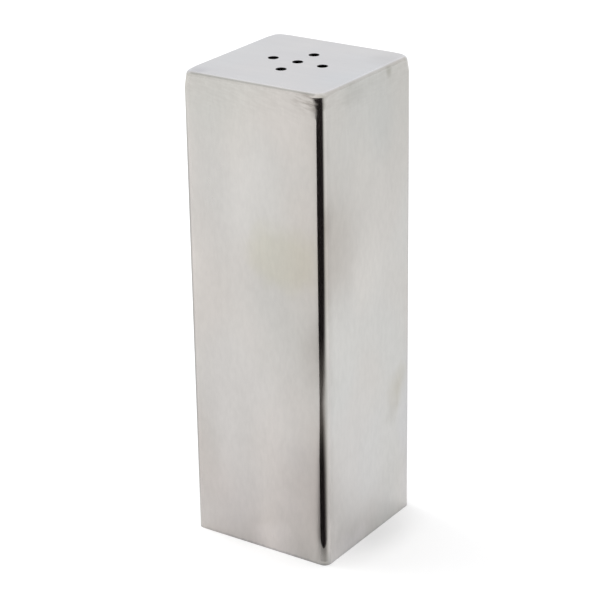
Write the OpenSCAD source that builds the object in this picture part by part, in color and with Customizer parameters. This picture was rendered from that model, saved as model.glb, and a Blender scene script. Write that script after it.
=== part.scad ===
// Square spice shaker in brushed stainless steel.
// A folded sleeve carries a pressed pour cap, welded on its top end and polished over,
// and a pressed base pan, welded inside its foot. A soft stopper closes the pan's neck.
// Millimetres, +Z up. The origin is the middle of the foot, on the table.

/* [Body sleeve] */
// Width and depth of the body across its flats
body_w = 38; // [34:0.5:48]
// Height from the table to the flat of the top
body_h = 116.5; // [80:0.5:150]
// Thickness of the sleeve's sheet
sleeve_wall = 0.8; // [0.6:0.1:1.2]
// Outside radius of the four upright edges
edge_r = 1.8; // [1.6:0.1:3]

/* [Pour cap] */
// Depth of the cap from the flat of the top to its weld line
cap_h = 4; // [3:0.5:8]
// Thickness of the cap's sheet
cap_wall = 1; // [0.8:0.1:1.2]
// Radius along the four edges of the top
rim_r = 1; // [0.6:0.1:1.2]
// Radius of the polished top corners, seen from above
corner_r = 2.8; // [2.6:0.1:5]
// Radius of the polished top corners, seen from the side
crown_r = 1.3; // [1.2:0.1:2.6]
// Length of edge over which the rim swells into a corner
crown_run = 2; // [1:0.5:8]
// Diameter of a pour hole
hole_d = 2.3; // [1.5:0.1:4]
// Number of pour holes round the middle one
ring_holes = 4; // [3:1:8]
// Distance from the middle pour hole to each of the others
hole_pitch = 6.75; // [5:0.25:12]
// Width of the polished break on a pour hole's outside edge
hole_break = 0.15; // [0.05:0.05:0.4]

/* [Base pan] */
// Height of the pan's underside above the table
base_recess = 4; // [3.5:0.5:8]
// Thickness of the pan's sheet
base_wall = 0.8; // [0.6:0.1:1.2]
// Gap between the pan's flange and the sleeve, filled by the weld at the foot
base_fit = 0.05; // [0.02:0.01:0.15]
// Height of the flange's edge above the table
flange_lift = 0.3; // [0.1:0.1:0.8]
// Outside radius where the flange turns down
bend_r = 1.6; // [1.3:0.1:2.5]
// Bore of the filling neck
neck_d = 20; // [14:0.5:22]
// Height of the neck's top edge above the pan's underside
neck_h = 5; // [4:0.5:8]
// Radius drawn round the mouth of the neck
mouth_r = 1.3; // [1.3:0.1:2]

/* [Stopper] */
// Diameter of the stopper's head
head_d = 25; // [24:0.5:28]
// Thickness of the head
head_t = 1.4; // [1.2:0.1:2]
// Gap between the head and the pan
seat_gap = 0.05; // [0.02:0.01:0.2]
// Length of the skirt above the head
skirt_h = 7; // [6:0.5:10]
// Thickness of the skirt
skirt_wall = 1.2; // [0.9:0.1:2]
// Gap between the skirt and the neck
skirt_gap = 0.4; // [0.3:0.05:0.6]
// Gap between the sealing ribs and the neck
rib_gap = 0.05; // [0.02:0.01:0.08]
// Number of sealing ribs
rib_count = 2; // [1:1:3]
// Length of the tapered end of the skirt
lead_h = 1.6; // [0.5:0.1:2]
// How far the taper draws the skirt's end in
lead_in = 0.5; // [0.2:0.1:0.8]
// Depth of the dish in the head's underside
dish_h = 0.4; // [0.2:0.1:0.6]
// Diameter of the dish
dish_d = 15; // [8:0.5:18]
// Width of the thumb tab
tab_w = 9; // [6:0.5:12]
// How far the thumb tab reaches past the head
tab_reach = 2.8; // [1.5:0.1:3]
// Thickness of the thumb tab
tab_t = 0.9; // [0.6:0.1:1.1]
// Number of grip ridges under the thumb tab
ridge_count = 3; // [1:1:4]
// Distance between grip ridges
ridge_pitch = 1.3; // [1:0.1:1.5]
// Radius of a grip ridge
ridge_r = 0.35; // [0.2:0.05:0.4]

/* [Hidden] */

// Facets of a full circle. True rounds only need it for the preview, blended forms are cut by it.
round_fn = 96;
blend_fn = 48;
// Overlap that makes a cut or a join clean
eps = 0.01;
// Height of the straight land at the foot of a pressed form
land_h = 0.2;
// Smallest radius inside a bend
inside_r = 0.2;

sleeve_h = body_h - cap_h;
sleeve_in_w = body_w - 2 * sleeve_wall;
sleeve_in_r = edge_r - sleeve_wall;

pan_w = sleeve_in_w - 2 * base_fit;
pan_h = base_recess + base_wall - flange_lift;
neck_r = neck_d / 2;
bend_in_r = mouth_r - base_wall;

head_top = base_recess - seat_gap;
head_r = head_d / 2;
skirt_r = neck_r - skirt_gap;
rib_reach = neck_r - rib_gap;
rib_r = 0.5;
tab_r = tab_w / 2;

steel = [0.74, 0.74, 0.73];
plastic = [0.88, 0.89, 0.87];

// A square with rounded corners, centred
module round_square(w, r) {
    square([w - 2 * r, w], center = true);
    square([w, w - 2 * r], center = true);
    for (x = [-1, 1], y = [-1, 1])
        translate([x * (w / 2 - r), y * (w / 2 - r)])
            circle(r, $fn = round_fn);
}

// Places its children at the four corners of a square of that width
module at_corners(w) {
    for (x = [-1, 1], y = [-1, 1])
        translate([x * w / 2, y * w / 2, 0])
            children();
}

// Straight rims of radius r along the edges of a square of width w, centred on z = 0
module straight_rims(w, length, r) {
    for (a = [0 : 90 : 270])
        rotate([0, 0, a])
            translate([w / 2 - r, 0, 0])
                rotate([90, 0, 0])
                    cylinder(h = length, r = r, center = true, $fn = blend_fn);
}

// A closed pressed form standing on z = 0. Its corners grow from foot_r to top_r on the way up.
// A radius of rim_r runs along the edges of the top and swells to crown_r over its corners.
module pressed_form(w, h, foot_r, top_r, rim_r, crown_r) {
    hull() {
        at_corners(w - 2 * foot_r)
            cylinder(h = land_h, r = foot_r, $fn = blend_fn);
        at_corners(w - 2 * top_r)
            translate([0, 0, h - crown_r])
                rotate_extrude($fn = blend_fn)
                    translate([top_r - crown_r, 0])
                        intersection() {
                            circle(crown_r, $fn = blend_fn);
                            square(crown_r);
                        }
        if (rim_r < crown_r)
            translate([0, 0, h - rim_r])
                straight_rims(w, w - 2 * (top_r + crown_run), rim_r);
    }
}

// The radius inside a bend in sheet of that thickness
function inside(r, wall) = max(r - wall, inside_r);

// A pressed form hollowed from below to an even thickness
module pressed_pan(w, h, wall, foot_r, top_r, rim_r, crown_r) {
    difference() {
        pressed_form(w, h, foot_r, top_r, rim_r, crown_r);
        translate([0, 0, -eps])
            pressed_form(w - 2 * wall, h - wall + eps, inside(foot_r, wall), inside(top_r, wall),
                         inside(rim_r, wall), inside(crown_r, wall));
    }
}

module body_sleeve() {
    color(steel)
        linear_extrude(sleeve_h)
            difference() {
                round_square(body_w, edge_r);
                round_square(sleeve_in_w, sleeve_in_r);
            }
}

// One pour hole through the top, with its outside edge broken
module pour_hole() {
    translate([0, 0, body_h - cap_wall - 1])
        cylinder(h = cap_wall + 2, d = hole_d, $fn = round_fn);
    translate([0, 0, body_h - hole_break])
        cylinder(h = 2 * hole_break, d1 = hole_d, d2 = hole_d + 4 * hole_break, $fn = round_fn);
}

module pour_cap() {
    color(steel)
        difference() {
            translate([0, 0, sleeve_h])
                pressed_pan(body_w, cap_h, cap_wall, edge_r, corner_r, rim_r, crown_r);
            pour_hole();
            for (i = [0 : ring_holes - 1])
                rotate([0, 0, i * 360 / ring_holes])
                    translate([hole_pitch, 0, 0])
                        pour_hole();
        }
}

// Section of the drawn neck, from the bore outwards: the bend at the mouth, the straight wall
// above it and a short length of the pan's sheet
module neck_section() {
    translate([neck_r + mouth_r, mouth_r])
        intersection() {
            difference() {
                circle(mouth_r, $fn = round_fn);
                circle(bend_in_r, $fn = round_fn);
            }
            translate([-mouth_r, -mouth_r])
                square(mouth_r);
        }
    translate([neck_r, mouth_r - eps])
        square([base_wall, neck_h - mouth_r + eps]);
    translate([neck_r + mouth_r - eps, 0])
        square([1, base_wall]);
}

module base_pan() {
    pan_r = sleeve_in_r + base_fit;
    color(steel) {
        difference() {
            translate([0, 0, flange_lift])
                pressed_pan(pan_w, pan_h, base_wall, pan_r, bend_r, bend_r, bend_r);
            translate([0, 0, base_recess - 1])
                cylinder(h = base_wall + 2, r = neck_r + mouth_r, $fn = round_fn);
        }
        translate([0, 0, base_recess])
            rotate_extrude($fn = round_fn)
                neck_section();
    }
}

// Half section of the stopper without its tab, the head's top at zero
module stopper_section() {
    difference() {
        union() {
            translate([0, -head_t])
                square([head_r - head_t / 2, head_t]);
            translate([head_r - head_t / 2, -head_t / 2])
                circle(head_t / 2, $fn = round_fn);
        }
        translate([0, -head_t - eps])
            square([dish_d / 2, dish_h + eps]);
        translate([-head_r, -head_t])
            square([head_r, head_t]);
    }
    skirt_in_r = skirt_r - skirt_wall;
    polygon([
        [skirt_in_r, -eps],
        [skirt_r, -eps],
        [skirt_r, skirt_h - lead_h],
        [skirt_r - lead_in, skirt_h],
        [skirt_in_r, skirt_h],
    ]);
    for (i = [1 : rib_count])
        translate([rib_reach - rib_r, mouth_r + i * (neck_h - mouth_r) / (rib_count + 1)])
            circle(rib_r, $fn = round_fn);
}

// Thumb tab at the head's edge, thinner than the head so that a nail gets behind it
module thumb_tab() {
    tab_x = head_r + tab_reach - tab_r;
    difference() {
        translate([tab_x, 0, -head_t])
            cylinder(h = tab_t, r = tab_r, $fn = round_fn);
        translate([0, 0, -head_t - 1])
            cylinder(h = head_t + 2, r = head_r - head_t, $fn = round_fn);
    }
    for (i = [0 : ridge_count - 1])
        translate([head_r + tab_reach - ridge_pitch * (i + 0.75), 0, -head_t])
            rotate([90, 0, 0])
                cylinder(h = tab_w / 2, r = ridge_r, center = true, $fn = round_fn);
}

module stopper() {
    color(plastic)
        translate([0, 0, head_top]) {
            rotate_extrude($fn = round_fn)
                stopper_section();
            thumb_tab();
        }
}

body_sleeve();
pour_cap();
base_pan();
stopper();
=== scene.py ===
"""Looks, light and camera for the square steel spice shaker. Metres, +Z up, origin under the foot."""
import math

import bpy
from mathutils import Matrix, Vector


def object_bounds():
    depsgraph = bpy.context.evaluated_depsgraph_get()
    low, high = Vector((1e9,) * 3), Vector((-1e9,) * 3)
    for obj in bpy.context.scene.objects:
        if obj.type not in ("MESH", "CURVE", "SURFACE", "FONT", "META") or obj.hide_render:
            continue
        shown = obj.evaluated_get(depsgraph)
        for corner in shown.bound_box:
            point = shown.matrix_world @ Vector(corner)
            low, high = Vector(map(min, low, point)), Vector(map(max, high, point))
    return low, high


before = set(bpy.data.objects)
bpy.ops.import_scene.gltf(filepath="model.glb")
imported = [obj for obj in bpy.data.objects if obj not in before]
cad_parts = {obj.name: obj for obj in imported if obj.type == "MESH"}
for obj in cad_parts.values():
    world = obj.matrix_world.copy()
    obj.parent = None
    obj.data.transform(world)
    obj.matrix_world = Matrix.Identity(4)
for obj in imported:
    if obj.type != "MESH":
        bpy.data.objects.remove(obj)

MM = 0.001
cad_low, cad_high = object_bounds()
# Half the width of the shaker and its height, in metres and, for places on its faces, in millimetres
HALF = cad_high[0]
TOP = cad_high[2]
HALF_MM = HALF / MM
TOP_MM = TOP / MM

# Outside radius of the upright edges, as in the CAD model
EDGE_R = 1.8 * MM


# ---------------------------------------------------------------- node helpers

# The values between which most noise lies, and its middle
NOISE_LOW, NOISE_HIGH = 0.3, 0.7
NOISE_MIDDLE = 0.5
# Where a Mix node keeps its two inputs and its output for each type of data
MIX_SOCKETS = {"FLOAT": (2, 3, 0), "VECTOR": (4, 5, 1), "RGBA": (6, 7, 2)}


class Graph:
    """Short names for the shader nodes that the materials below are made of. A plain colour is three
    values, and a length in a material is in metres."""

    def __init__(self, owner):
        owner.use_nodes = True
        self.tree = owner.node_tree
        self.tree.nodes.clear()

    def node(self, kind, **settings):
        made = self.tree.nodes.new(kind)
        for name, value in settings.items():
            setattr(made, name, value)
        return made

    def link(self, source, target):
        """Joins an output to an input, or sets the input where source is a plain value or colour."""
        if isinstance(source, bpy.types.NodeSocket):
            self.tree.links.new(source, target)
        elif target.type == "RGBA":
            target.default_value = (*source, 1.0)
        else:
            target.default_value = source

    def math(self, operation, a, b=0.0):
        made = self.node("ShaderNodeMath", operation=operation)
        self.link(a, made.inputs[0])
        self.link(b, made.inputs[1])
        return made.outputs[0]

    def product(self, first, *others):
        for other in others:
            first = self.math("MULTIPLY", first, other)
        return first

    def left_of_one(self, share):
        return self.math("SUBTRACT", 1.0, share)

    def remap(self, value, low, high, to_low=0.0, to_high=1.0, smooth=True):
        made = self.node("ShaderNodeMapRange")
        made.interpolation_type = "SMOOTHSTEP" if smooth else "LINEAR"
        self.link(value, made.inputs["Value"])
        for name, number in (("From Min", low), ("From Max", high), ("To Min", to_low), ("To Max", to_high)):
            self.link(number, made.inputs[name])
        return made.outputs["Result"]

    def spread(self, noise, low, high):
        """Noise brought to between low and high."""
        return self.remap(noise, NOISE_LOW, NOISE_HIGH, low, high)

    def swing(self, noise, size):
        """Noise brought to between -size and size."""
        return self.spread(noise, -size, size)

    def mapped(self, vector, scale=(1, 1, 1), offset=(0, 0, 0), turn=(0, 0, 0)):
        made = self.node("ShaderNodeMapping")
        self.link(vector, made.inputs["Vector"])
        made.inputs["Scale"].default_value = scale
        made.inputs["Location"].default_value = offset
        made.inputs["Rotation"].default_value = turn
        return made.outputs[0]

    def noise(self, vector, scale, detail=2.0, roughness=0.5, output="Fac"):
        """Noise at scale cycles a metre along each axis, as a value centred on 0.5."""
        made = self.node("ShaderNodeTexNoise")
        self.link(self.mapped(vector, scale), made.inputs["Vector"])
        made.inputs["Scale"].default_value = 1.0
        made.inputs["Detail"].default_value = detail
        made.inputs["Roughness"].default_value = roughness
        return made.outputs[output]

    def vector(self, operation, a, b=(0, 0, 0)):
        made = self.node("ShaderNodeVectorMath", operation=operation)
        self.link(a, made.inputs[0])
        self.link(b, made.inputs[1])
        return made.outputs["Value" if operation in ("LENGTH", "DOT_PRODUCT") else "Vector"]

    def split(self, vector):
        made = self.node("ShaderNodeSeparateXYZ")
        self.link(vector, made.inputs[0])
        return made.outputs

    def near(self, place, centre, reach, core=0.0):
        """1 over the core, a share of the reach along each axis (mm), fading softly to 0 at its end."""
        scale = [1 / (r * MM) for r in reach]
        offset = [-c / r for c, r in zip(centre, reach)]
        away = self.vector("LENGTH", self.mapped(place, scale, offset))
        return self.remap(away, 1.0, core)

    def mix(self, factor, a, b, data="RGBA", blend="MIX"):
        made = self.node("ShaderNodeMix", data_type=data, blend_type=blend)
        first, second, result = MIX_SOCKETS[data]
        self.link(factor, made.inputs[0])
        self.link(a, made.inputs[first])
        self.link(b, made.inputs[second])
        return made.outputs[result]

    def tinted(self, tone, tint, where=1.0):
        """The tone multiplied by a tint, as far as where says."""
        return self.mix(where, tone, tint, blend="MULTIPLY")

    def grey(self, value):
        made = self.node("ShaderNodeCombineColor")
        for socket in made.inputs:
            self.link(value, socket)
        return made.outputs[0]

    def bump(self, height, strength, distance):
        made = self.node("ShaderNodeBump")
        made.inputs["Distance"].default_value = distance
        self.link(strength, made.inputs["Strength"])
        self.link(height, made.inputs["Height"])
        return made.outputs[0]

    def principled(self, roughness, base, normal=None, **fixed):
        shader = self.node("ShaderNodeBsdfPrincipled")
        self.link(roughness, shader.inputs["Roughness"])
        self.link(base, shader.inputs["Base Color"])
        if normal is not None:
            self.link(normal, shader.inputs["Normal"])
        for name, value in fixed.items():
            self.link(value, shader.inputs[name.replace("_", " ")])
        return shader

    def finish_surface(self, shader):
        self.link(shader.outputs[0], self.node("ShaderNodeOutputMaterial").inputs["Surface"])


def new_material(name):
    material = bpy.data.materials.new(name)
    return material, Graph(material)


def add_object(name, data):
    made = bpy.data.objects.new(name, data)
    bpy.context.scene.collection.objects.link(made)
    return made


# ---------------------------------------------------------------- brushed steel

STEEL = (0.665, 0.65, 0.625)
STEEL_WARM = (0.67, 0.64, 0.60)
STEEL_COOL = (0.63, 0.645, 0.63)
# How far the warm and cool patches are drawn back to the plain steel
STEEL_EVEN = 0.66
# Painted shade for the walls of the pour holes
HOLE_SHADE = (0.02, 0.02, 0.02)
# Painted shade for the middle of the upright edges
EDGE_SHADE_TINT = (0.86, 0.85, 0.83)
# Painted highlight where the rims of the top turn down
RIM_HIGHLIGHT_TINT = (1.06, 1.06, 1.065)
# Painted contact shade along the foot
FOOT_SHADE_TINT = (0.74, 0.75, 0.77)
SWIRL_TINT = (0.62, 0.60, 0.58)
# How much the brush marks and the clouds lighten and darken the steel, and the marks' share on the top
BROAD_SHADE = 0.02
FINE_SHADE = 0.017
TOP_SHARE = 0.56
CLOUD_SHADES = (0.96, 1.045)
# Roughness where the clouds are darkest and brightest, what the fine marks add or take, and the
# roughness of the polished edges
CLOUD_ROUGHNESS = (0.30, 0.40)
FINE_ROUGHNESS = 0.03
POLISHED_ROUGHNESS = 0.12
# Strength of the brush marks' relief in the brushed faces and on the polished edges, and its depth
BRUSHED_RELIEF = 0.35
POLISHED_RELIEF = 0.08
RELIEF_DEPTH = 0.004 * MM

# Patterns in the steel: cycles a metre along X, Y and Z, detail and roughness
PATTERNS = {
    "side_fine": ((2400, 2400, 560), 3.0, 0.6),
    "side_broad": ((850, 850, 380), 3.0, 0.6),
    "top_fine": ((90, 2600, 2600), 3.0, 0.6),
    "top_broad": ((50, 500, 500), 2.0, 0.5),
    "presence": ((120, 120, 40), 1.0, 0.5),
    "cloud": ((75, 75, 38), 2.0, 0.45),
    "cast": ((42, 42, 30), 1.0, 0.5),
    "sway": ((130, 130, 90), 2.0, 0.5),
    "strokes": ((260, 260, 1500), 3.0, 0.5),
}
# The stretch of a pattern's values over which it goes from one end of what it drives to the other
PRESENCE_STRETCH = (0.35, 0.65)
CAST_STRETCH = (0.35, 0.62)
STROKE_STRETCH = (0.40, 0.62)
# Strength of the fine brush marks where they are faintest
FAINTEST_MARKS = 0.35

# Each face's tint, partly colour and partly painted shade: the front warmer and a little darker, the right
# face a little darker, the top cooler
FACE_TINTS_AND_SHADE = {
    "front": (0.989, 0.971, 0.965),
    "right": (0.985, 0.985, 0.985),
    "top": (0.985, 0.99, 1.012),
}

# The axis that each face looks along, and the face's place on it in millimetres
FACE_PLANES = {"front": (1, -HALF_MM), "right": (0, HALF_MM), "top": (2, TOP_MM)}

# Soft marks on each face, most of them painted shade and painted highlights that stand in for what the
# faces mirror, a few of them tinted patches and smudges: centre and reach in millimetres along the face's
# own two axes (X and Z on the front, Y and Z on the right, X and Y on the top), tint, and the share of the
# reach that has the whole tint
PAINTED_SHADE_AND_MARKS = {
    "front": (
        # Straw-coloured cloud with painted shade round it, and a painted highlight above it
        ((8.5, 76.5), (14, 10.5), (0.975, 0.97, 0.905), 0.45),
        ((10, 70), (17, 38), (0.93, 0.932, 0.925), 0.2),
        ((17, 106), (8, 18), (0.965, 0.965, 0.96), 0.0),
        ((-2, 91), (13, 30), (1.05, 1.05, 1.05), 0.0),
        # Shade along the front edge, deepest above and below the middle
        ((20, 60), (17, 85), (0.95, 0.94, 0.935), 0.0),
        ((19, 55), (9, 15), (0.84, 0.83, 0.82), 0.0),
        ((18, 20), (13, 28), (0.88, 0.865, 0.86), 0.0),
        ((13, 15), (14, 26), (0.90, 0.898, 0.905), 0.2),
        # Painted shade low down, a pinker tint, and painted highlights at the foot
        ((-7, 4), (26, 30), (0.95, 0.935, 0.945), 0.0),
        ((-4, 26), (30, 40), (1.003, 0.993, 0.998), 0.3),
        ((3, 6), (4, 22), (1.035, 1.035, 1.03), 0.0),
        ((5, 0), (10, 8), (1.15, 1.155, 1.175), 0.2),
        # Left margin, with painted shade low down and a painted highlight higher up
        ((-17, 25), (9, 27), (0.90, 0.90, 0.895), 0.0),
        ((-18, 70), (4, 10), (1.05, 1.05, 1.05), 0.0),
        # Greener cast below the top
        ((-12, 116), (24, 24), (0.983, 1.0, 0.992), 0.2),
    ),
    "right": (
        # Painted shade beside the front edge, with a darker spot in it
        ((-18, 79), (18, 25), (0.80, 0.78, 0.76), 0.0),
        ((-18, 50), (4, 70), (0.90, 0.89, 0.88), 0.0),
        ((-18.5, 108), (3, 22), (0.93, 0.93, 0.93), 0.2),
        ((-17.2, 86), (3.2, 7.5), (0.86, 0.85, 0.84), 0.0),
        ((-17, 18), (10, 26), (0.955, 0.95, 0.945), 0.0),
        # Patches of painted shade and painted highlight
        ((-3, 80), (8, 15), (0.965, 0.965, 0.965), 0.0),
        ((17, 76), (9, 20), (1.03, 1.03, 1.03), 0.0),
        ((-15, 61), (6, 16), (1.03, 1.03, 1.03), 0.0),
        ((12, 14), (10, 9), (0.965, 0.965, 0.96), 0.0),
        ((5, 9), (10, 9), (0.955, 0.955, 0.955), 0.2),
        # Painted shade at the top end
        ((0, 116), (60, 50), (0.915, 0.92, 0.915), 0.0),
        ((14, 108), (22, 20), (0.95, 0.955, 0.955), 0.2),
        ((-5, 114.2), (9, 3.5), (0.93, 0.93, 0.925), 0.3),
        # Painted light low down and at the foot
        ((0, 4), (60, 45), (1.035, 1.03, 1.04), 0.0),
        ((-8, 0), (12, 6), (1.15, 1.15, 1.175), 0.2),
        ((-18, 4), (6, 13), (1.12, 1.12, 1.13), 0.3),
        # Cooler cast low down
        ((18, 20), (6, 36), (0.985, 0.99, 1.02), 0.2),
        ((-8, 22), (18, 34), (0.985, 0.997, 1.015), 0.2),
        # A slanting smear by the far edge and a spot under the top
        ((13.6, 36.4), (5.4, 5.4), (0.948, 0.938, 0.908), 0.3),
        ((11.8, 32.6), (5.4, 5.2), (0.95, 0.938, 0.912), 0.3),
        ((10.4, 28.4), (3.4, 4.8), (0.92, 0.915, 0.905), 0.1),
        ((12.8, 31.2), (1.5, 4.6), (0.95, 0.945, 0.93), 0.0),
        ((8.4, 114.9), (2.2, 2.8), (0.80, 0.80, 0.77), 0.1),
    ),
    "top": (
        # Darker spots at the left and right corners
        ((-16, -17), (4, 4), (0.86, 0.86, 0.88), 0.0),
        ((17, 12), (7, 9), (0.93, 0.93, 0.93), 0.0),
    ),
}
# How deep a mark reaches on either side of its face, in millimetres
MARK_DEPTH = 30
# How far the outlines of the marks wander
MARK_SWAY = (7 * MM, 7 * MM, 9 * MM)

# Painted shade where the front edge meets the table, at the foot of the dark line down the edge: centre,
# reach, tint and core, as above with all three axes
EDGE_FOOT_SHADE = ((HALF_MM - 0.6, 0.6 - HALF_MM, 0), (4, 4, 2.2), (0.82, 0.83, 0.83), 0.4)

# Strokes of the polishing wheel round the top of the front edge, and faint ones all along the sides'
# top: centre and reach in millimetres
SWIRL = ((HALF_MM - 1.5, -HALF_MM, TOP_MM - 2.1), (9.5, 5, 3.8))
SWIRL_BAND = ((0, 0, TOP_MM - 2.5), (200, 200, 9))
# Strength of the faint ones, how much of the others the right face loses, and how far all of them tilt
SWIRL_BAND_SHARE = 0.12
SWIRL_RIGHT_LOSS = 0.7
SWIRL_TILT = math.radians(-12)

# Height at which the painted contact shade along the foot fades out, height below which it is whole,
# and how far both wander
FOOT_SHADE_END = 0.85 * MM
FOOT_SHADE_WHOLE = 0.1 * MM
FOOT_SHADE_SWAY = 0.12 * MM
# Its strength at the left edge of the front, the place from which it is whole there, and its strength
# on the right face
FOOT_SHADE_LEFT = 0.3
FOOT_SHADE_WHOLE_X = -4 * MM
FOOT_SHADE_RIGHT = 0.4
# The pour holes lie within this distance of the middle along X and Y
HOLES_REACH = 11 * MM


def steel_masks(g, normal):
    """How far a point lies on each face, edge or rim, from the parts of its unit normal."""
    facing = g.split(normal)
    nx, ny, nz = (g.math("ABSOLUTE", part) for part in facing)
    corner = g.math("MINIMUM", nx, ny)
    return {
        "front": g.remap(facing[1], -0.5, -0.95),
        "right": g.remap(facing[0], 0.5, 0.95),
        "top": g.remap(nz, 0.6, 0.9),
        # An upright edge, and its middle
        "edge": g.remap(corner, 0.02, 0.16),
        "edge_middle": g.remap(corner, 0.25, 0.6),
        # A rim of the top, and the part of it that turns down
        "rim": g.product(g.remap(nz, 0.05, 0.2), g.remap(nz, 0.999, 0.97)),
        "rim_turn": g.product(g.remap(nz, 0.82, 0.93), g.remap(nz, 0.999, 0.99)),
        "not_level": g.remap(nz, 0.95, 0.75),
    }


def brush_marks(g, place, size, faces_up):
    """Brush marks of one size, upright on the sides and along X on the top."""
    side = g.noise(place, *PATTERNS["side_" + size])
    top = g.noise(place, *PATTERNS["top_" + size])
    return g.mix(faces_up, side, top, data="FLOAT")


def plain_steel(g, place, on, fine, broad, cloud):
    """The sheet's own colour, with its warm and cool patches, clouds and brush marks."""
    warm = g.remap(g.noise(place, *PATTERNS["cast"]), *CAST_STRETCH)
    tone = g.mix(STEEL_EVEN, g.mix(warm, STEEL_COOL, STEEL_WARM), STEEL)
    grain = g.math("ADD", g.swing(broad, BROAD_SHADE), g.swing(fine, FINE_SHADE))
    grain = g.product(grain, g.remap(on["top"], 0.0, 1.0, 1.0, TOP_SHARE))
    shade = g.math("ADD", g.spread(cloud, *CLOUD_SHADES), grain)
    return g.tinted(tone, g.grey(shade))


def on_face(pair, axis, depth):
    """Two values along a face made into three, with depth for the axis that the face looks along."""
    return (*pair[:axis], depth, *pair[axis:])


def with_painted_shade_and_marks(g, place, on, tone):
    """The tone with each face's tint and its marks, mostly painted shade and painted highlights with a few
    smudges, all with uneven outlines, and painted shade where the front edge meets the table.
    """
    sway = g.noise(place, *PATTERNS["sway"], output="Color")
    sway = g.vector("SUBTRACT", sway, (NOISE_MIDDLE, NOISE_MIDDLE, NOISE_MIDDLE))
    uneven = g.vector("ADD", place, g.vector("MULTIPLY", sway, MARK_SWAY))
    for face, cast in FACE_TINTS_AND_SHADE.items():
        tone = g.tinted(tone, cast, on[face])
    for face, marks in PAINTED_SHADE_AND_MARKS.items():
        axis, plane = FACE_PLANES[face]
        for centre, reach, tint, core in marks:
            mark = g.near(uneven, on_face(centre, axis, plane), on_face(reach, axis, MARK_DEPTH), core)
            tone = g.tinted(tone, tint, g.product(on[face], mark))
    # Painted shade where the front edge meets the table
    centre, reach, tint, core = EDGE_FOOT_SHADE
    return g.tinted(tone, tint, g.product(on["edge"], g.near(uneven, centre, reach, core)))


def corner_swirl(g, place, on):
    """Short strokes where the polishing wheel turned round the top of the front edge."""
    strokes = g.noise(g.mapped(place, turn=(0.0, SWIRL_TILT, 0.0)), *PATTERNS["strokes"])
    on_side = g.left_of_one(on["top"])
    less_on_right = g.left_of_one(g.product(on["right"], SWIRL_RIGHT_LOSS))
    swirl = g.product(on_side, g.near(place, *SWIRL), less_on_right)
    band = g.product(on_side, g.near(place, *SWIRL_BAND), SWIRL_BAND_SHARE)
    return g.product(g.math("MAXIMUM", swirl, band), g.remap(strokes, *STROKE_STRETCH))


def foot_contact_shade(g, x, z, on, broad):
    """Painted contact shade along the foot, strongest on the right of the front face."""
    height = g.math("ADD", z, g.swing(broad, FOOT_SHADE_SWAY))
    along_front = g.remap(x, -HALF, FOOT_SHADE_WHOLE_X, FOOT_SHADE_LEFT, 1.0)
    along_right = g.remap(on["right"], 0.0, 1.0, 1.0, FOOT_SHADE_RIGHT)
    return g.product(g.remap(height, FOOT_SHADE_END, FOOT_SHADE_WHOLE), along_front, along_right)


def hole_walls(g, x, y, z, on):
    """Where painted shade darkens the walls and broken edges of the pour holes."""
    off_middle = g.math("MAXIMUM", g.math("ABSOLUTE", x), g.math("ABSOLUTE", y))
    inside = g.remap(off_middle, HOLES_REACH + 1 * MM, HOLES_REACH)
    return g.product(inside, on["not_level"], g.math("GREATER_THAN", z, TOP / 2))


def brush_direction(g, faces_up):
    """Tangents round Z on the sides and round X on the top, which stretch the reflections."""
    round_z = g.node("ShaderNodeTangent", direction_type="RADIAL", axis="Z").outputs[0]
    round_x = g.node("ShaderNodeTangent", direction_type="RADIAL", axis="X").outputs[0]
    return g.mix(faces_up, round_z, round_x, data="VECTOR")


def brushed_steel():
    """Stainless sheet, brushed lengthways on the sides and across the top, with polished edges."""
    material, g = new_material("brushed_steel")
    coords = g.node("ShaderNodeTexCoord")
    place = coords.outputs["Object"]
    x, y, z = g.split(place)
    on = steel_masks(g, coords.outputs["Normal"])
    # The fine marks fade in and out
    presence = g.remap(g.noise(place, *PATTERNS["presence"]), *PRESENCE_STRETCH, FAINTEST_MARKS, 1.0)
    fine = g.mix(presence, NOISE_MIDDLE, brush_marks(g, place, "fine", on["top"]), data="FLOAT")
    broad = brush_marks(g, place, "broad", on["top"])
    cloud = g.noise(place, *PATTERNS["cloud"])

    tone = plain_steel(g, place, on, fine, broad, cloud)
    tone = with_painted_shade_and_marks(g, place, on, tone)
    tone = g.tinted(tone, SWIRL_TINT, corner_swirl(g, place, on))
    # Painted shade darkens the middle of the upright edges, and a painted highlight brightens the rims of
    # the top where they turn down
    tone = g.tinted(tone, EDGE_SHADE_TINT, on["edge_middle"])
    tone = g.tinted(tone, RIM_HIGHLIGHT_TINT, on["rim_turn"])
    # Painted contact shade along the foot
    tone = g.tinted(tone, FOOT_SHADE_TINT, foot_contact_shade(g, x, z, on, broad))
    # Painted shade darkens the walls of the holes
    tone = g.mix(hole_walls(g, x, y, z, on), tone, HOLE_SHADE)

    polished = g.math("MAXIMUM", on["edge"], on["rim"])
    rough = g.math("ADD", g.spread(cloud, *CLOUD_ROUGHNESS), g.swing(fine, FINE_ROUGHNESS))
    rough = g.mix(polished, rough, POLISHED_ROUGHNESS, data="FLOAT")
    relief = g.mix(polished, BRUSHED_RELIEF, POLISHED_RELIEF, data="FLOAT")
    normal = g.bump(g.math("ADD", fine, broad), relief, RELIEF_DEPTH)
    tangent = brush_direction(g, on["top"])
    g.finish_surface(g.principled(rough, tone, normal, Metallic=1.0, Anisotropic=0.6, Tangent=tangent))
    return material


# ---------------------------------------------------------------- stopper

PLASTIC = (0.80, 0.81, 0.78)
PLASTIC_DULL = (0.72, 0.73, 0.69)
PLASTIC_ROUGHNESS = (0.42, 0.55)
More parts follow.
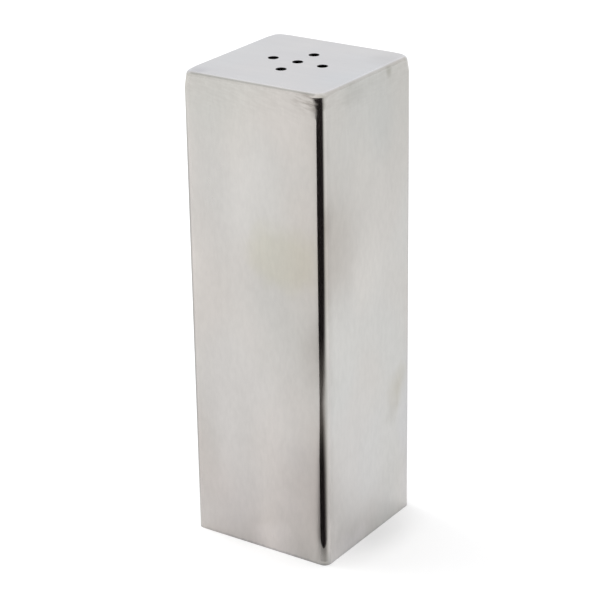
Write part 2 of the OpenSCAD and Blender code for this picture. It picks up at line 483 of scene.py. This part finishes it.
# Cycles a metre of the matt skin and of the flow marks, and the strength and depth of the skin's relief
SKIN_SCALE = (4200, 4200, 4200)
FLOW_SCALE = (160, 160, 60)
SKIN_RELIEF = 0.25
SKIN_DEPTH = 0.02 * MM
# The stretch of the flow marks' values over which the plastic turns dull
FLOW_STRETCH = (0.35, 0.65)
# How deep light goes into the plastic, and its share in red, green and blue
SCATTER_DEPTH = 1.2 * MM
SCATTER_SHARES = (1.0, 0.9, 0.8)


def soft_plastic():
    """Milky moulded plastic with a fine matt skin and faint flow marks."""
    material, g = new_material("soft_plastic")
    place = g.node("ShaderNodeTexCoord").outputs["Object"]
    skin = g.noise(place, SKIN_SCALE)
    flow = g.noise(place, FLOW_SCALE, detail=3.0)
    tone = g.mix(g.remap(flow, *FLOW_STRETCH), PLASTIC, PLASTIC_DULL)
    rough = g.spread(skin, *PLASTIC_ROUGHNESS)
    normal = g.bump(skin, SKIN_RELIEF, SKIN_DEPTH)
    g.finish_surface(g.principled(rough, tone, normal, IOR=1.51, Subsurface_Weight=0.25,
                                  Subsurface_Radius=SCATTER_SHARES, Subsurface_Scale=SCATTER_DEPTH))
    return material


def dress_nodes():
    steel = brushed_steel()
    finishes = {"body_sleeve": steel, "pour_cap": steel, "base_pan": steel, "stopper": soft_plastic()}
    for name, material in finishes.items():
        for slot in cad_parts[name].material_slots:
            slot.material = material


# ---------------------------------------------------------------- floor

# Width of the table, and how far it reaches under the sleeve's foot
FLOOR_SIZE = 6.0
FLOOR_LAP = 0.4 * MM
FLOOR_WHITE = (0.80, 0.80, 0.80)
FLOOR_BACK = (0.50, 0.50, 0.51)
FLOOR_CONTACT = (0.57, 0.57, 0.57)
# Duller patch where the shaker shades the table on its right: centre and reach in millimetres
CONTACT = ((HALF_MM, 0, 0), (12, 23, 20))
# How much brighter the floor shows to the camera, in mirror reflections and in those of its right part
CAMERA_LIFT = 0.30
MIRROR_LIFT = 0.06
MIRROR_LIFT_RIGHT = 0.17
# Level direction towards the part of the table that gets the least light, the cosines off it between
# which that part sets in, and the distances at which it begins, is whole, begins to fade and ends
TABLE_FAR = (-0.67, 0.74, 0.0)
FAR_COSINES = (-0.1, 0.8)
FAR_BEGIN, FAR_WHOLE = 28 * MM, 50 * MM
FAR_FADE, FAR_END = 280 * MM, 420 * MM
# The same for its brighter part on the right, which has no end
TABLE_RIGHT = (0.60, 0.80, 0.0)
RIGHT_COSINES = (0.3, 0.9)


def floor_mesh():
    """A square sheet with an opening whose edge lies under the sleeve's foot, so that the base shows
    from below and the stopper can come down."""
    steps = 6
    centre = HALF - EDGE_R
    radius = EDGE_R - FLOOR_LAP
    verts, loop = [], []
    for quarter in range(4):
        turn = Matrix.Rotation(math.radians(90 * quarter), 3, "Z")
        verts.append(turn @ Vector((FLOOR_SIZE / 2, FLOOR_SIZE / 2, 0)))
        for i in range(steps + 1):
            angle = math.radians(90 * i / steps)
            point = Vector((centre + radius * math.cos(angle), centre + radius * math.sin(angle), 0))
            loop.append((quarter, len(verts)))
            verts.append(turn @ point)
    corners = [quarter * (steps + 2) for quarter in range(4)]
    faces = []
    for (quarter, here), (after, there) in zip(loop, loop[1:] + loop[:1]):
        face = [corners[quarter], there, here]
        if after != quarter:
            face = [corners[quarter], corners[after], there, here]
        faces.append(face)
    mesh = bpy.data.meshes.new("floor")
    mesh.from_pydata(verts, [], faces)
    return mesh


def table_white():
    """Matt white. Camera and mirror rays see it lifted to the white of the room, and mirror rays see
    it darker behind the shaker, which draws the shaker's outer edges."""
    material, g = new_material("floor")
    rays = g.node("ShaderNodeLightPath")
    place = g.node("ShaderNodeTexCoord").outputs["Object"]
    way = g.vector("NORMALIZE", place)
    away = g.vector("LENGTH", place)
    behind = g.remap(g.vector("DOT_PRODUCT", way, TABLE_FAR), *FAR_COSINES)
    ring = g.product(g.remap(away, FAR_BEGIN, FAR_WHOLE), g.remap(away, FAR_END, FAR_FADE))
    dark = g.product(behind, ring, rays.outputs["Is Glossy Ray"])
    white = g.mix(g.near(place, *CONTACT), FLOOR_WHITE, FLOOR_CONTACT)
    on_right = g.vector("DOT_PRODUCT", way, TABLE_RIGHT)
    mirror_lift = g.remap(on_right, *RIGHT_COSINES, MIRROR_LIFT, MIRROR_LIFT_RIGHT)
    lift = g.math("ADD", g.product(rays.outputs["Is Camera Ray"], CAMERA_LIFT),
                  g.product(rays.outputs["Is Glossy Ray"], mirror_lift))
    g.finish_surface(g.principled(roughness=0.9, base=g.mix(dark, white, FLOOR_BACK),
                                  Specular_IOR_Level=0.0, Emission_Color=(1.0, 1.0, 1.0),
                                  Emission_Strength=lift))
    return material


def make_floor():
    floor = add_object("floor", floor_mesh())
    floor.data.materials.append(table_white())


# ---------------------------------------------------------------- card by the front edge

# Outline of the black card: height in millimetres, its two ends in degrees round the edge from the
# front face, and the degrees over which its right side fades out
FLAG_OUTLINE = (
    (0.2, -30, 108, 60),
    (7, -24, 98, 62),
    (10, -22, 98, 64),
    (25, -16, 98, 70),
    (34, -7, 84, 60),
    (42, -4, 74, 60),
    (49, -4, 89, 58),
    (60, -6, 96, 52),
    (75, -6, 89, 34),
    (90, -6, 87, 27),
    (110, -4, 86, 25),
    (112, -30, 84, 25),
    (114, -48, 88, 25),
    (115.9, -50, 89, 25),
)
# Steps across the card, and its distance from the edge
FLAG_STEPS = 24
FLAG_GAP = 1.5 * MM
# The upright line that the rounded front edge is drawn round
FLAG_AXIS = Vector((HALF - EDGE_R, -HALF + EDGE_R, 0))
FLAG_BLACK = (0.05, 0.044, 0.048)
# Paler part of the card: tone, centre and reach in millimetres
FLAG_PALE = (0.32, 0.31, 0.30)
FLAG_PALE_PART = ((HALF_MM, -HALF_MM, 43), (40, 40, 17))

# The card's left side is torn into strips near its top: the heights between which the torn side leans
# out, its angles there, the strips' cycles a metre and the radians that they reach out and in
TORN_LOW, TORN_HIGH = 111 * MM, 116 * MM
TORN_ANGLE_LOW, TORN_ANGLE_HIGH = math.radians(-12), math.radians(-22)
STRIP_SCALE = (250, 250, 1300)
STRIP_REACH = 0.3
# Heights over which the strips grow, over which the side softens, and over which, downwards, the card
# is whole again
STRIPS_GROW = (TORN_LOW + 0.5 * MM, TORN_LOW + 3 * MM)
TORN_SOFTENS = (TORN_LOW - 1 * MM, TORN_LOW + 2 * MM)
TORN_ENDS = (TORN_LOW + 1 * MM, TORN_LOW - 1.5 * MM)
# Radians outside the torn side at which the card is clear, and inside it at which it is whole, before
# and after the side softens
TORN_CLEAR = -0.5
TORN_WHOLE = (0.4, 0.7)

# The card's foot narrows to a tip: the tip's height and angle, the height over which the foot narrows,
# the half width that it narrows from, and how: below 1 it stays wide until close to the tip
TIP_HEIGHT = 3.7 * MM
TIP_ANGLE = math.radians(24)
TIP_RISE = 3.0 * MM
TIP_HALF_WIDTH = math.radians(54)
TIP_ROUNDNESS = 0.35
# Radians outside its curve at which the card is clear, and inside it at which it is whole
TIP_FADE = (-0.25, 0.4)
# The faint trace below the tip: half widths at which it ends and is whole, and its strengths at two
# heights
TRACE_END, TRACE_WHOLE = math.radians(76), math.radians(12)
TRACE_HIGH, TRACE_LOW = 4.2 * MM, 0.4 * MM
TRACE_STRENGTH_HIGH, TRACE_STRENGTH_LOW = 0.66, 0.38


def flag_mesh():
    """The card, bent round the edge, with how solid each of its points is."""
    verts, faces, solidity = [], [], []
    for height, first, last, fade in FLAG_OUTLINE:
        for i in range(FLAG_STEPS + 1):
            turn = first + (last - first) * i / FLAG_STEPS
            angle = math.radians(turn)
            foot = FLAG_AXIS + Vector((math.sin(angle), -math.cos(angle), 0)) * (FLAG_GAP + EDGE_R)
            verts.append(foot + Vector((0, 0, height * MM)))
            solidity.append(min((last - turn) / fade, 1.0))
    row = FLAG_STEPS + 1
    for level in range(len(FLAG_OUTLINE) - 1):
        for i in range(FLAG_STEPS):
            a = level * row + i
            faces.append((a, a + 1, a + 1 + row, a + row))
    mesh = bpy.data.meshes.new("edge_flag")
    mesh.from_pydata(verts, [], faces)
    mesh.attributes.new("solidity", "FLOAT", "POINT").data.foreach_set("value", solidity)
    return mesh


def torn_top(g, angle, height):
    """1 on the card, fading to 0 at the torn strips where its top ends to the left."""
    torn_from = g.remap(height, TORN_LOW, TORN_HIGH, TORN_ANGLE_LOW, TORN_ANGLE_HIGH, smooth=False)
    strips = g.noise(g.node("ShaderNodeTexCoord").outputs["Object"], STRIP_SCALE)
    depth = g.product(g.swing(strips, STRIP_REACH), g.remap(height, *STRIPS_GROW))
    inside = g.math("SUBTRACT", g.math("SUBTRACT", angle, torn_from), depth)
    whole_from = g.remap(height, *TORN_SOFTENS, *TORN_WHOLE)
    return g.math("MAXIMUM", g.remap(inside, TORN_CLEAR, whole_from), g.remap(height, *TORN_ENDS))


def pointed_foot(g, angle, height):
    """1 on the card, 0 past the curve by which its foot narrows to a tip, and a faint trace below."""
    off = g.math("ABSOLUTE", g.math("SUBTRACT", angle, TIP_ANGLE))
    rise = g.remap(height, TIP_HEIGHT, TIP_HEIGHT + TIP_RISE, smooth=False)
    width = g.product(g.math("POWER", rise, TIP_ROUNDNESS), TIP_HALF_WIDTH)
    tip = g.remap(g.math("SUBTRACT", width, off), *TIP_FADE)
    strength = g.remap(height, TRACE_HIGH, TRACE_LOW, TRACE_STRENGTH_HIGH, TRACE_STRENGTH_LOW)
    trace = g.product(g.remap(off, TRACE_END, TRACE_WHOLE), strength)
    return g.math("MAXIMUM", tip, trace)


def flag_black():
    """Matt black, paler in the middle, and clear where the card's ends are shaped."""
    material, g = new_material("flag_black")
    place = g.node("ShaderNodeTexCoord").outputs["Object"]
    across, along, height = g.split(g.vector("SUBTRACT", place, FLAG_AXIS))
    angle = g.math("ARCTAN2", across, g.product(along, -1.0))
    solid = g.node("ShaderNodeAttribute", attribute_name="solidity").outputs["Fac"]
    kept = g.product(torn_top(g, angle, height), pointed_foot(g, angle, height), g.remap(solid, 0.0, 1.0))
    tone = g.mix(g.near(place, *FLAG_PALE_PART), FLAG_BLACK, FLAG_PALE)
    shown = g.node("ShaderNodeMixShader")
    g.link(kept, shown.inputs[0])
    g.link(g.node("ShaderNodeBsdfTransparent").outputs[0], shown.inputs[1])
    black = g.principled(roughness=1.0, base=tone, Specular_IOR_Level=0.0)
    g.link(black.outputs[0], shown.inputs[2])
    g.finish_surface(shown)
    return material


def make_edge_flag():
    """A narrow black card close to the front upright edge, seen only by reflections.
    It draws the dark line that runs down the polished edge."""
    flag = add_object("edge_flag", flag_mesh())
    flag.data.materials.append(flag_black())
    flag.visible_camera = False
    flag.visible_diffuse = False
    flag.visible_shadow = False
    flag.visible_transmission = False


# ---------------------------------------------------------------- light

SKY = (1.0, 1.0, 1.0)
SKY_BACK = (1.0, 1.02, 1.07)
SKY_LOW = (0.92, 0.92, 0.92)
# Level direction towards the pale backdrop that the top face mirrors, and the cosines off it between
# which the backdrop sets in
BACKDROP = (-0.56, 0.83, 0.0)
BACKDROP_COSINES = (0.45, 0.75)
# Sines of the heights at which the duller low part of the room begins and is whole
LOW_SINES = (0.85, 0.45)
# Grey panels overhead that the rims of the top mirror: direction, half widths in degrees inside which
# the panel is whole and outside which it ends, tone
PANELS = (
    ((-0.52, -0.33, 0.79), 11, 28, (0.71, 0.72, 0.715)),
    ((0.34, 0.77, 0.54), 8, 34, (0.88, 0.87, 0.87)),
)

# The lamp's place, the point that it is aimed at, the length of its sides and its power in watts
KEY_PLACE = Vector((-0.9, -0.1, 1.3))
KEY_AIM = Vector((0, 0, 0.05))
KEY_SIZE = 0.9
KEY_POWER = 7.0


def light_world():
    """White room with two grey panels overhead, a little duller low down except at the backdrop.
    The camera itself sees plain white."""
    world = bpy.data.worlds.new("studio")
    bpy.context.scene.world = world
    g = Graph(world)
    way = g.node("ShaderNodeTexCoord").outputs["Generated"]
    backdrop = g.remap(g.vector("DOT_PRODUCT", way, BACKDROP), *BACKDROP_COSINES)
    low = g.remap(g.split(way)[2], *LOW_SINES)
    sky = g.mix(g.product(low, g.left_of_one(backdrop)), SKY, SKY_LOW)
    sky = g.mix(backdrop, sky, SKY_BACK)
    for aim, inner, outer, grey in PANELS:
        towards = g.vector("DOT_PRODUCT", way, Vector(aim).normalized())
        panel = g.remap(towards, math.cos(math.radians(outer)), math.cos(math.radians(inner)))
        sky = g.mix(panel, sky, grey)
    sky = g.mix(g.node("ShaderNodeLightPath").outputs["Is Camera Ray"], sky, SKY)
    background = g.node("ShaderNodeBackground")
    g.link(sky, background.inputs["Color"])
    background.inputs["Strength"].default_value = 1.0
    g.link(background.outputs[0], g.node("ShaderNodeOutputWorld").inputs["Surface"])


def add_key_light():
    """A soft square lamp high on the left, which reflections don't show."""
    lamp = bpy.data.lights.new("key_light", "AREA")
    lamp.shape = "SQUARE"
    lamp.size = KEY_SIZE
    lamp.energy = KEY_POWER
    key = add_object("key_light", lamp)
    key.location = KEY_PLACE
    key.rotation_euler = (KEY_AIM - KEY_PLACE).to_track_quat("-Z", "Y").to_euler()
    key.visible_glossy = False


# ---------------------------------------------------------------- camera

# The camera's angles, and the point that it looks at from this distance
YAW = math.radians(34.14)
PITCH = math.radians(22.46)
ROLL = math.radians(-0.905)
DISTANCE = 505.6 * MM
TARGET = Vector((-0.41, 0.0, 57.68)) * MM
# Its focal length and picture width in pixels, its sensor in millimetres and the nearest that it sees
FOCAL_PX = 2119.0
FRAME_PX = 600
SENSOR = 36.0
NEAREST = 10 * MM


def make_camera():
    """Camera at the photograph's angle, from the yaw round +Z, the pitch down and a slight roll."""
    back = Vector((math.sin(YAW) * math.cos(PITCH), -math.cos(YAW) * math.cos(PITCH), math.sin(PITCH)))
    level = Vector((0, 0, 1)).cross(back).normalized()
    upright = back.cross(level)
    right = level * math.cos(ROLL) + upright * math.sin(ROLL)
    up = back.cross(right)
    data = bpy.data.cameras.new("camera")
    data.sensor_width = SENSOR
    data.lens = FOCAL_PX / FRAME_PX * SENSOR
    data.clip_start = NEAREST
    camera = add_object("camera", data)
    rotation = Matrix((right, up, back)).transposed().to_4x4()
    camera.matrix_world = Matrix.Translation(TARGET + back * DISTANCE) @ rotation
    bpy.context.scene.camera = camera


dress_nodes()
make_floor()
make_edge_flag()
light_world()
add_key_light()
make_camera()
bpy.context.scene.view_settings.view_transform = "Standard"
